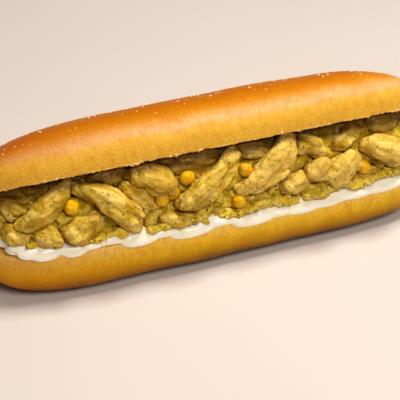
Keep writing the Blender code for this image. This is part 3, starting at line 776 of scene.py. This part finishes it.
lumps = clouds("meat_lumps", LUMP_SIZE, 2)
knobs = clouds("meat_knobs", KNOB_SIZE, 2)
grains = clouds("meat_grains", GRAIN_SIZE, 2)
fibres = clouds("meat_fibres", 1.0, 1, creased=True)
bundle_shapes = [
    lump_shape("bundle_round", (1.0, 0.3, 0.24), 0.35, 11),
    lump_shape("bundle_flat", (1.0, 0.42, 0.2), 0.4, 12),
    lump_shape("bundle_thin", (1.1, 0.2, 0.18), 0.3, 13),
]
strips = []
for index, node in enumerate(meat_nodes):
    strip = node_copy(node, node.replace("chicken", "chicken_strip"))
    add_modifier(strip, "SUBSURF", levels=2, render_levels=2)
    remesh(strip, 1.0 * MM, 3)
    add_modifier(strip, "DISPLACE", strength=MEAT_SWELL, mid_level=0)
    middle, axes = grain_frame(strip)
    along = Vector(axes[0])
    half_length = np.abs((np.array([v.co for v in strip.data.vertices]) - middle) @ axes[0]).max()
    area = sum(face.area for face in strip.data.polygons)
    folds = [fold_on(skin_of([strip]), *fold) for fold in FOLDS.get(node, ())]
    spots = spots_on(
        strip,
        int(area / BUNDLE_SPREAD * (BUNDLES_ON_FOLDS if folds else 1)),
        index,
        lambda place, _: abs((place - Vector(middle)).dot(along)) < BUNDLE_LIMIT * half_length,
    )
    bundles = sow("bundles", bundle_shapes, spots, BUNDLE_LENGTHS, 0.075, index, along)
    ends = spots_on(
        strip,
        int(area / BUNDLE_SPREAD * SHREDS_PER_BUNDLE),
        index + 70,
        lambda place, _: abs((place - Vector(middle)).dot(along)) > SHREDS_FROM * half_length,
    )
    shreds = sow("shreds", bundle_shapes, ends, SHRED_LENGTHS, 0.05, index + 40, along)
    merge_into(strip, [bundles, shreds, *folds])
    remesh(strip, MEAT_VOXEL, 5)
    for pattern, depth in ((lumps, LUMP_DEPTH), (knobs, KNOB_DEPTH), (grains, GRAIN_DEPTH)):
        roughen(strip, pattern, depth)
    guide = bpy.data.objects.new("guide", None)
    bpy.context.scene.collection.objects.link(guide)
    turned = Matrix([[*axis, 0] for axis in axes] + [[0, 0, 0, 1]]).transposed()
    smooth = np.array([vertex.co for vertex in strip.data.vertices])
    outward = np.array([vertex.normal for vertex in strip.data.vertices])
    for length, spacing, depth in CREASES:
        stretch = Matrix.Diagonal((length, spacing, spacing, 1))
        guide.matrix_world = Matrix.Translation(middle) @ turned @ stretch
        bpy.context.view_layer.update()
        add_modifier(
            strip,
            "DISPLACE",
            texture=fibres,
            texture_coords="OBJECT",
            texture_coords_object=guide,
            strength=depth,
            mid_level=0.4,
        )
    bpy.data.objects.remove(guide)
    places = np.array([vertex.co for vertex in strip.data.vertices])
    rise = ((places - smooth) * outward).sum(axis=1)
    # How deep each vertex lies in a crease, for painted highlights on ridges and painted shade in
    # creases.
    mark(strip, "crease", "FLOAT", np.clip((np.median(rise) - rise) / (0.3 * CREASES[0][2]), -1, 1))
    mark(strip, "grain", "FLOAT_VECTOR", (places - middle) @ axes.T + middle)
    mark_closeness(strip, "seam_shade", meat_near(node, SEAM_SHADE_REACH), SEAM_SHADE_REACH)
    for vertex, spot in zip(strip.data.vertices, strip.data.attributes["seam_shade"].data):
        spot.value *= clamped(0.8 - vertex.normal.z, 0.2)  # painted shade, weaker on the pieces' tops
    mark_closeness(strip, "sauce_and_shade", ["herb_mash"], SAUCE_AND_SHADE_REACH)
    # How far each vertex faces down, for painted shade.
    mark(strip, "shaded_underside", "FLOAT", [max(0.1 - v.normal.z, 0) for v in strip.data.vertices])
    mark_shade(strip)
    mark(strip, "tone", "FLOAT", [MEAT_TONES.get(node, 0.0)] * len(strip.data.vertices))
    strip.data.materials.append(chicken_finish)
    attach(strip, "root")
    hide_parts(node)
    strips.append(strip)
for shape in bundle_shapes:
    bpy.data.objects.remove(shape)

# ------------------------
# The sweetcorn: whole cooked kernels, plump and shining, deeper yellow where they are thick.

KERNEL_VOXEL = 0.4 * MM
KERNEL_SWELL = 0.4 * MM  # gives back what smoothing takes off
KERNEL_DENTS = 0.9 * MM

finish, link, shader, coords = new_finish(
    "sweetcorn_skin",
    Roughness=0.3,
    IOR=1.42,
    Specular_IOR_Level=0.35,
    Subsurface_Weight=0.15,
    Subsurface_Scale=1.2 * MM,
    Subsurface_Radius=(1.0, 0.75, 0.15),
)
tint = add_node(finish, "TexNoise", {"Vector": coords, "Scale": 1 / (5 * MM), "Detail": 2})
skin = add_node(finish, "ValToRGB", {"Fac": tint}, stops=((0.3, "d49600"), (0.7, "e4b400")))
(sauce_and_shade,) = marks_of(finish, "sauce_and_shade")
# Darker where the kernel meets mash and chicken: partly sauce, partly painted shade.
skin = lay_over(finish, skin, [("a87400", (sauce_and_shade, 0.3, 1.0, 0.0, 0.45))])
link(skin.outputs[2], shader.inputs["Base Color"])
dimples = add_node(finish, "TexNoise", {"Vector": coords, "Scale": 1 / (1.5 * MM), "Detail": 2})
emboss(finish, shader, (dimples, 0.2, 0.3 * MM))
for node in sorted(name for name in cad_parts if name.startswith("corn_")):
    kernel = node_copy(node, node.replace("corn", "corn_kernel"))
    add_modifier(kernel, "SUBSURF", levels=1, render_levels=1)
    remesh(kernel, KERNEL_VOXEL, 6)
    add_modifier(kernel, "DISPLACE", strength=KERNEL_SWELL, mid_level=0)
    roughen(kernel, clouds("kernel_dents", 3 * MM), KERNEL_DENTS)
    mark_closeness(kernel, "sauce_and_shade", ["herb_mash", *meat_near(node, SAUCE_AND_SHADE_REACH)], SAUCE_AND_SHADE_REACH)
    kernel.data.materials.append(finish)
    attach(kernel, "root")
    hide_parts(node)

# ------------------------
# The herb mash: onion, herbs and shreds of chicken, chopped small and bound with the sauce. It
# is pressed into the gaps between the pieces, so it is lumpy all over and wet.

MASH_VOXEL = 0.7 * MM
MASH_SWELL = 0.8 * MM  # it fills part of the gap that the model leaves round each piece
MASH_LUMPS = 520
LIP_TUCK = 2.5 * MM  # how far it sinks back in the shade of the crown's lip
TUCK_REACH = 9 * MM
TUCK_WAY = Vector((0, 0.83, -0.56))
TUCK_FRONT = -12 * MM  # and it sinks back in full from 10 mm before this line
TUCK_FADE = 10 * MM
SPILL_LINE = -37.2 * MM  # where the lumps that spill over lie, in front of the heel's rim
SPILL_DEPTH = 6 * MM
# Where it spills over the mayonnaise: the middle of each lump along the roll and its height above
# the base, its length and its height, in mm.
SPILL = (
    (-120, 41, 8, 5),
    (-107, 40, 7, 5),
    (-92, 40.5, 9, 6),
    (-84, 39.5, 11, 6),
    (-75, 38.5, 11, 6),
    (-66, 39.5, 10, 6),
    (-48, 37.5, 9, 6),
    (-40, 37, 12, 6),
    (-30, 37, 12, 6),
    (-21, 38, 9, 6),
    (-1, 36.5, 10, 6),
    (7, 35, 11, 6),
    (15, 36.5, 10, 6),
    (24, 39, 10, 6),
    (33, 37.5, 10, 7),
    (41, 35.5, 11, 7),
    (55, 37, 10, 7),
    (62, 36, 11, 7),
    (71, 39, 10, 7),
    (80, 39, 9, 6),
    (88, 36.5, 11, 7),
    (97, 38, 11, 7),
    (104, 40, 9, 6),
    (114, 39.5, 11, 7),
    (124, 40, 11, 6),
    (134, 40, 10, 6),
)


meat_skin = skin_of(strips)
OPEN_BACK = Vector((0, 1, 0))


def shows(place, direction):
    """Whether a place of the mash faces the open front or back, with no meat in front of it."""
    if direction.y < -0.1:
        way = OPEN_FRONT
    elif direction.y > 0.75:
        way = OPEN_BACK
    else:
        return False
    return meat_skin.ray_cast(place + way * 0.5 * MM, way, 12 * MM)[0] is None


def lit(place, direction):
    """Whether a place of the mash shows and lies out of the shade of the crown's lip."""
    return shows(place, direction) and not -30 * MM < place.y < 0


def mark_relief(piece, rounds, height):
    """Marks how far each vertex stands out of the piece as it is when smoothed, from -1 to 1."""
    plain = bpy.data.objects.new("plain", piece.data.copy())
    bpy.context.scene.collection.objects.link(plain)
    add_modifier(plain, "SMOOTH", factor=0.5, iterations=rounds)
    rises = [(v.co - p.co).dot(v.normal) for v, p in zip(piece.data.vertices, plain.data.vertices)]
    bpy.data.objects.remove(plain)
    mark(piece, "relief", "FLOAT", np.clip(np.array(rises) / height, -1, 1))


mash = node_copy("herb_mash", "herb_mash_bank")
add_modifier(mash, "DISPLACE", strength=MASH_SWELL, mid_level=0)
shapes = [
    lump_shape("mash_lump_round", (1.0, 0.8, 0.7), 0.5, 1),
    lump_shape("mash_lump_long", (1.3, 0.6, 0.55), 0.6, 2),
    lump_shape("mash_lump_flat", (1.0, 0.9, 0.4), 0.6, 3),
    lump_shape("mash_shred", (1.7, 0.42, 0.36), 0.5, 4),
]
spots = spots_on(mash, MASH_LUMPS, 3, shows)
heap = sow("relief_lumps", shapes, spots, (3.5 * MM, 8.0 * MM), -0.12, 5)
spill = []
for index, (x, z, length, height) in enumerate(SPILL):
    lump = lump_shape("spill", (length * 1.25 * MM, SPILL_DEPTH, height * MM), 0.6, 20 + index)
    lump.location = (x * MM, SPILL_LINE + rim_setback(x * MM), z * MM)
    lump.rotation_euler = (math.radians(-20), 0, 0)
    select_only(lump)
    bpy.ops.object.transform_apply()
    spill.append(lump)
merge_into(mash, [heap, *spill])
remesh(mash, MASH_VOXEL, 2)
roof = skin_of([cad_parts["bread_crown"]])
for vertex in mash.data.vertices:
    gap = roof.find_nearest(vertex.co, TUCK_REACH)[3]
    if gap is not None:
        share = clamped(1 - gap / TUCK_REACH) * clamped((TUCK_FRONT - vertex.co.y) / TUCK_FADE)
        vertex.co += TUCK_WAY * LIP_TUCK * share
roughen(mash, clouds("mash_swells", 6.0 * MM, 2), 2.5 * MM, 0.45)
roughen(mash, clouds("mash_grain", 2.4 * MM, 2), 0.6 * MM, 0.45)
add_modifier(mash, "DECIMATE", ratio=0.6)
mash.data.shade_smooth()
# Relief, for painted highlights on raised lumps and painted shade in hollows.
mark_relief(mash, 12, 0.8 * MM)
# How far each vertex faces down, for painted shade.
mark(mash, "shaded_underside", "FLOAT", [max(0.1 - v.normal.z, 0) for v in mash.data.vertices])
mark_closeness(mash, "seam_shade", meat_nodes, 1.3 * MM)
mark_shade(mash)
mark_nook_shade(mash, meat_skin, 0.3 * MM)

finish, link, shader, coords = new_finish(
    "herb_mash",
    Roughness=0.36,
    IOR=1.42,
    Specular_IOR_Level=0.3,
    Specular_Tint=linear("ffe4a0"),
    Subsurface_Weight=0.1,
    Subsurface_Scale=1.0 * MM,
    Subsurface_Radius=(1.0, 0.75, 0.2),
    Coat_Weight=0.03,
    Coat_Roughness=0.2,
)
seam_shade, rise, shaded_underside, nook_shade, shade = marks_of(
    finish, "seam_shade", "relief", "shaded_underside", "nook_shade", "shade"
)
chopped = add_node(finish, "TexVoronoi", {"Vector": coords, "Scale": 1 / (2.6 * MM)})
bits = add_node(finish, "SeparateColor", {"Color": chopped.outputs["Color"]}).outputs[0]
mash_stops = (
    (0.0, "c29e10"),
    (0.25, "d8b620"),
    (0.5, "e6c638"),
    (0.75, "f2d654"),
    (1.0, "ccac1a"),
)
green = add_node(finish, "ValToRGB", {"Fac": bits}, stops=mash_stops)
blend = add_node(
    finish, "TexNoise", {"Vector": coords, "Scale": 1 / (4 * MM), "Detail": 5, "Roughness": 0.65}
)
fine = add_node(finish, "TexNoise", {"Vector": coords, "Scale": 1 / (1.0 * MM), "Detail": 3})
layers = (
    ("cca41c", (blend, 0.45, 0.7, 0.0, 0.5)),
    # Painted highlights on raised lumps, painted shade in hollows.
    ("f4dc74", (rise, 0.15, 0.9, 0.0, 0.45)),
    ("6c5404", (rise, 0.0, -0.9, 0.0, 0.8)),
    # Painted shade on the undersides.
    ("6c5404", (shaded_underside, 0.0, 0.8, 0.0, 0.65)),
)
green = vary(finish, lay_over(finish, green, layers), fine, 0.3, 0.7, 0.88, 1.08)
layers = (
    # Painted shade close to the chicken.
    ("5a3c00", (seam_shade, 0.2, 0.9, 0.0, 0.6)),
    # Painted shade in nooks.
    ("6e4e02", (nook_shade, 0.2, 0.9, 0.0, 0.5)),
    # Painted shadow of the crown's lip.
    ("4c2c00", (shade, 0.12, 0.6, 0.0, 0.92)),
)
green = lay_over(finish, green, layers)
link(green.outputs[2], shader.inputs["Base Color"])
emboss(finish, shader, (blend, 0.4, 0.6 * MM))
mash.data.materials.append(finish)
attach(mash, "root")
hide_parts("herb_mash")

# ------------------------
# Loose bits in the sauce: pieces of onion and leaf, and flecks of pepper and dried herbs, which
# also cling to the chicken.

BITS_FACES = 0.55  # share of a lump's faces that a loose bit keeps


def faces_out(place, direction):
    """Whether a place is on the open side of the filling."""
    return direction.y < -0.15 and direction.z > -0.5


def open_spots(pieces, count, seed):
    """Random places on the open side of several pieces, shared out by the room on each."""
    rooms = [sum(f.area for f in p.data.polygons if faces_out(f.center, f.normal)) for p in pieces]
    for index, (piece, room) in enumerate(zip(pieces, rooms)):
        share = round(count * room / sum(rooms))
        if share:
            yield from spots_on(piece, share, seed + index, faces_out)


def colour_bits(bits, name, colours, size, **settings):
    """Gives small bits a finish whose colour changes from bit to bit."""
    finish, link, shader, coords = new_finish(name, **settings)
    change = add_node(finish, "TexNoise", {"Vector": coords, "Scale": 1 / size, "Detail": 1})
    shade = add_node(finish, "ValToRGB", {"Fac": change}, stops=colours)
    link(shade.outputs[0], shader.inputs["Base Color"])
    fine = add_node(finish, "TexNoise", {"Vector": coords, "Scale": 1 / (0.7 * MM), "Detail": 2})
    emboss(finish, shader, (fine, 0.3, 0.2 * MM))
    bits.data.materials.append(finish)


def bit_shapes(*kinds):
    """Lump shapes for bits that are strewn by the hundred, so they keep few faces. Each kind is
    its name, its size, how uneven it is and its seed."""
    lumps = [lump_shape(*kind) for kind in kinds]
    for lump in lumps:
        add_modifier(lump, "DECIMATE", ratio=BITS_FACES)
    return lumps


for shape in shapes:
    add_modifier(shape, "DECIMATE", ratio=BITS_FACES)
spots = spots_on(mash, 460, 21, lit)
onion = sow("onion_bits", shapes[:3], spots, (1.8 * MM, 4.2 * MM), 0.1, 22)
colour_bits(
    onion,
    "cooked_onion",
    ((0.35, "c0a228"), (0.5, "d2b640"), (0.65, "e6ce6c")),
    4 * MM,
    Roughness=0.2,
    IOR=1.4,
    Subsurface_Weight=0.3,
    Subsurface_Scale=1.0 * MM,
    Coat_Weight=0.3,
)
spots = spots_on(mash, 160, 27, lit)
shreds = sow("meat_shreds", shapes[3:], spots, (2.0 * MM, 4.4 * MM), 0.05, 28)
colour_bits(
    shreds,
    "shredded_meat",
    ((0.35, "b8961e"), (0.5, "ccae34"), (0.65, "dcc252")),
    4 * MM,
    Roughness=0.3,
    IOR=1.42,
    Coat_Weight=0.25,
)
leaf_shapes = bit_shapes(
    ("leaf_bit", (1.0, 0.7, 0.16), 0.7, 31), ("leaf_sliver", (1.3, 0.35, 0.16), 0.5, 32)
)
spots = spots_on(mash, 420, 23, lit)
leaves = sow("leaf_bits", leaf_shapes, spots, (0.9 * MM, 2.6 * MM), -0.02, 24)
leaf_stops = ((0.35, "6e5c08"), (0.5, "8a7610"), (0.65, "a48e1e"))
colour_bits(leaves, "chopped_leaf", leaf_stops, 3 * MM, Roughness=0.4, IOR=1.4)
spots = open_spots([*strips, mash], 900, 25)
flecks = sow("pepper_flecks", leaf_shapes, spots, (0.5 * MM, 1.4 * MM), -0.05, 26)
fleck_stops = ((0.4, "2c1e00"), (0.6, "564008"))
colour_bits(flecks, "pepper_and_herb", fleck_stops, 2 * MM, Roughness=0.6, IOR=1.45)
for piece in (onion, shreds, leaves, flecks):
    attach(piece, "root")
for shape in (*shapes, *leaf_shapes):
    bpy.data.objects.remove(shape)

# ------------------------
# The crown: the upper half of the roll, leaning back on the filling. Its top was nearest the
# heat, so it is a deep brown-orange there, and pale gold down to its cut edge.

CROWN_MIDDLE = Vector((1.5, 3.37, 58.5)) * MM  # of its cut face
CROWN_LEAN = math.radians(34)
CROWN_HALF_WIDTH = 36.5 * MM
CROWN_BELLY = 9 * MM
CROWN_THICKNESS = 34.5 * MM
CROWN_SQUARENESS = 0.94
CROWN_BLUNTNESS = 5.4  # how late both its ends narrow
CROWN_HIGH_BLUNTNESS = 4.4

crown = half_roll(
    "crown",
    CROWN_HALF_WIDTH,
    CROWN_BELLY,
    CROWN_THICKNESS,
    CROWN_SQUARENESS,
    (CROWN_BLUNTNESS, CROWN_BLUNTNESS),
    CROWN_HIGH_BLUNTNESS,
    seed=5.0,
    hand=1,
)
crown.rotation_euler.x = -CROWN_LEAN
crown.location = CROWN_MIDDLE
select_only(crown)
bpy.ops.object.transform_apply()
# The pale stops at 0.5 and 0.58 are a painted highlight, a sheen band along the crown's middle.
CROWN_BAKE_AND_SHEEN = (
    (0.0, "dcaa3c"),
    (0.26, "dca836"),
    (0.38, "e2ae42"),
    (0.5, "e4b276"),
    (0.58, "dea45c"),
    (0.69, "d08616"),
    (0.77, "c67604"),
    (0.9, "ba6600"),
)
own_turn = Matrix.Rotation(CROWN_LEAN, 3, "X")
crown.data.materials.append(
    crust_finish(
        "crown_crust",
        (CROWN_LEAN, 0, 0),
        -(own_turn @ CROWN_MIDDLE),
        CROWN_THICKNESS,
        CROWN_BAKE_AND_SHEEN,
        "aa5c00",
        (0.12, 1.0),
    )
)
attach(crown, "root")
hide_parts("bread_crown")

# ------------------------
# The crown's torn lip: the knife pulls shreds and crumbs out of the soft bread where it leaves
# the crust. They are pale, dry and matt, and they hang on along the front cut.

CRUMBS = 800
CRUMB_SIZES = (0.9 * MM, 3.0 * MM)
LIP_LOW, LIP_HIGH = -0.6 * MM, 0.9 * MM  # how far they hang past the cut edge, and reach up it
LIP_TEAR_PITCH = 16 * MM


def on_lip(place, direction):
    """Whether a place is on the crown's front cut edge, in one of the stretches that tore."""
    own = own_turn @ (place - CROWN_MIDDLE)
    torn = noise.noise(Vector((place.x / LIP_TEAR_PITCH, 3.1, 0))) > -0.12
    return torn and own.y < 0 and LIP_LOW < own.z < LIP_HIGH and direction.y < 0.1


crumb_shapes = bit_shapes(
    ("crumb", (1.0, 0.6, 0.45), 0.6, 61), ("crumb_shred", (1.5, 0.4, 0.35), 0.6, 62)
)
spots = spots_on(crown, CRUMBS, 63, on_lip)
crumbs = sow("lip_crumbs", crumb_shapes, spots, CRUMB_SIZES, 0.1, 64)
colour_bits(
    crumbs,
    "torn_crumb",
    ((0.35, "d09a3c"), (0.5, "e0b460"), (0.65, "ecca8c")),
    5 * MM,
    Roughness=0.85,
    IOR=1.45,
    Specular_IOR_Level=0.2,
)
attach(crumbs, "root")
for shape in crumb_shapes:
    bpy.data.objects.remove(shape)

# ------------------------
# The seeds: small hulled sesame seeds, strewn on the wet dough before baking, so that they sit
# half sunk in the crust. They are cream, and a few have toasted.

SEED_COUNT = 28  # the ones that are in the model too
SEED_LENGTH = 2.3 * MM
SEED_SPREAD = 0.62  # share of the crown's half width that they reach
SEED_REACH = 0.94  # share of the crown's length that they reach
FINE_SEEDS = 250
FINE_LENGTHS = (1.0 * MM, 2.0 * MM)
FINE_SPREAD = 0.75

seed_shapes = bit_shapes(
    ("seed", (1.0, 0.62, 0.5), 0.12, 41), ("seed", (1.0, 0.7, 0.5), 0.12, 42)
)
crown_skin = skin_of([crown])
lean = Matrix.Rotation(-CROWN_LEAN, 3, "X")


def crust_spot(x, across):
    """The place on the crown's crust over a point of its cut face, and its direction."""
    start = CROWN_MIDDLE + lean @ Vector((x - CROWN_MIDDLE.x, across, 2 * CROWN_THICKNESS))
    place, direction, _, _ = crown_skin.ray_cast(start, lean @ Vector((0, 0, -1)))
    return place, direction


def seed_spots(count, spread, seed, turned):
    """Random places over the crown's top, one for each of as many lanes along the roll."""
    draw = Random(seed)
    for index in range(count):
        lane = (index + draw.uniform(0.1, 0.9)) / count
        x = (2 * lane - 1) * ROLL_HALF_LENGTH * SEED_REACH
        tuck = (1 - (abs(x) / ROLL_HALF_LENGTH) ** CROWN_BLUNTNESS) ** (1 / TIP_ROUNDNESS)
        across = CROWN_HALF_WIDTH * spread * tuck * signed_power(draw.uniform(-1, 1), 1.3)
        yield crust_spot(x + CROWN_MIDDLE.x, across)
        if turned:
            draw.uniform(0, math.pi)  # its spin, which the model draws here


spots = seed_spots(SEED_COUNT, SEED_SPREAD, 11, True)
large = sow("seeds", seed_shapes, spots, (SEED_LENGTH, SEED_LENGTH), 0.0, 51)
spots = seed_spots(FINE_SEEDS, FINE_SPREAD, 12, False)
seeds = sow("crown_seeds", seed_shapes, spots, FINE_LENGTHS, 0.0, 52)
merge_into(seeds, [large])
colour_bits(
    seeds,
    "hulled_sesame",
    ((0.3, "e4b45c"), (0.5, "f2d08a"), (0.75, "f8e2b2")),
    3 * MM,
    Roughness=0.45,
    IOR=1.46,
    Subsurface_Weight=0.2,
    Subsurface_Scale=0.6 * MM,
)
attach(seeds, "root")
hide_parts("bread_crown")
for shape in seed_shapes:
    bpy.data.objects.remove(shape)

# ------------------------
# The stage: a plain painted top, a soft lamp overhead, a weaker one in front, and the camera.

bpy.ops.mesh.primitive_plane_add(size=4)
table = bpy.context.object
table.name = "table"
finish, link, shader, coords = new_finish("painted_table", Roughness=0.75)
haze = add_node(finish, "TexNoise", {"Vector": coords, "Scale": 4.0, "Detail": 2})
paint = add_node(finish, "ValToRGB", {"Fac": haze}, stops=((0.3, "d1c7c1"), (0.7, "d5cbc6")))
link(paint.outputs[0], shader.inputs["Base Color"])
table.data.materials.append(finish)

scene = bpy.context.scene
scene.view_settings.view_transform = "Standard"
world = bpy.data.worlds.new("studio")
world.use_nodes = True
world.node_tree.nodes["Background"].inputs["Color"].default_value = linear("ffe8c8")
world.node_tree.nodes["Background"].inputs["Strength"].default_value = 0.09
scene.world = world


def soft_lamp(name, place, width, height, power, colour):
    bpy.ops.object.light_add(type="AREA", location=place)
    lamp = bpy.context.object
    lamp.name = name
    lamp.data.shape = "RECTANGLE"
    lamp.data.size, lamp.data.size_y = width, height
    lamp.data.energy = power
    lamp.data.color = linear(colour)[:3]
    lamp.rotation_euler = (Vector((0, 0, 0.05)) - Vector(place)).to_track_quat("-Z", "Y").to_euler()


soft_lamp("overhead", (0.4, 0.04, 1.42), 0.5, 0.35, 21.3, "fffaf2")
soft_lamp("front_fill", (0.1, -1.0, 1.15), 0.7, 0.5, 12.4, "fff6ea")

CAMERA_AIM = Vector((-5.0, -2.66, 25.3)) * MM
CAMERA_DISTANCE = 723 * MM
CAMERA_TURN = math.radians(-20.7)
CAMERA_HEIGHT = math.radians(35)
CAMERA_VIEW = math.radians(20)
away = Vector(
    (
        math.sin(CAMERA_TURN) * math.cos(CAMERA_HEIGHT),
        -math.cos(CAMERA_TURN) * math.cos(CAMERA_HEIGHT),
        math.sin(CAMERA_HEIGHT),
    )
)
bpy.ops.object.camera_add(location=CAMERA_AIM + away * CAMERA_DISTANCE)
camera = bpy.context.object
camera.rotation_euler = away.to_track_quat("Z", "Y").to_euler()
camera.data.sensor_fit = "HORIZONTAL"
camera.data.angle = CAMERA_VIEW
scene.camera = camera
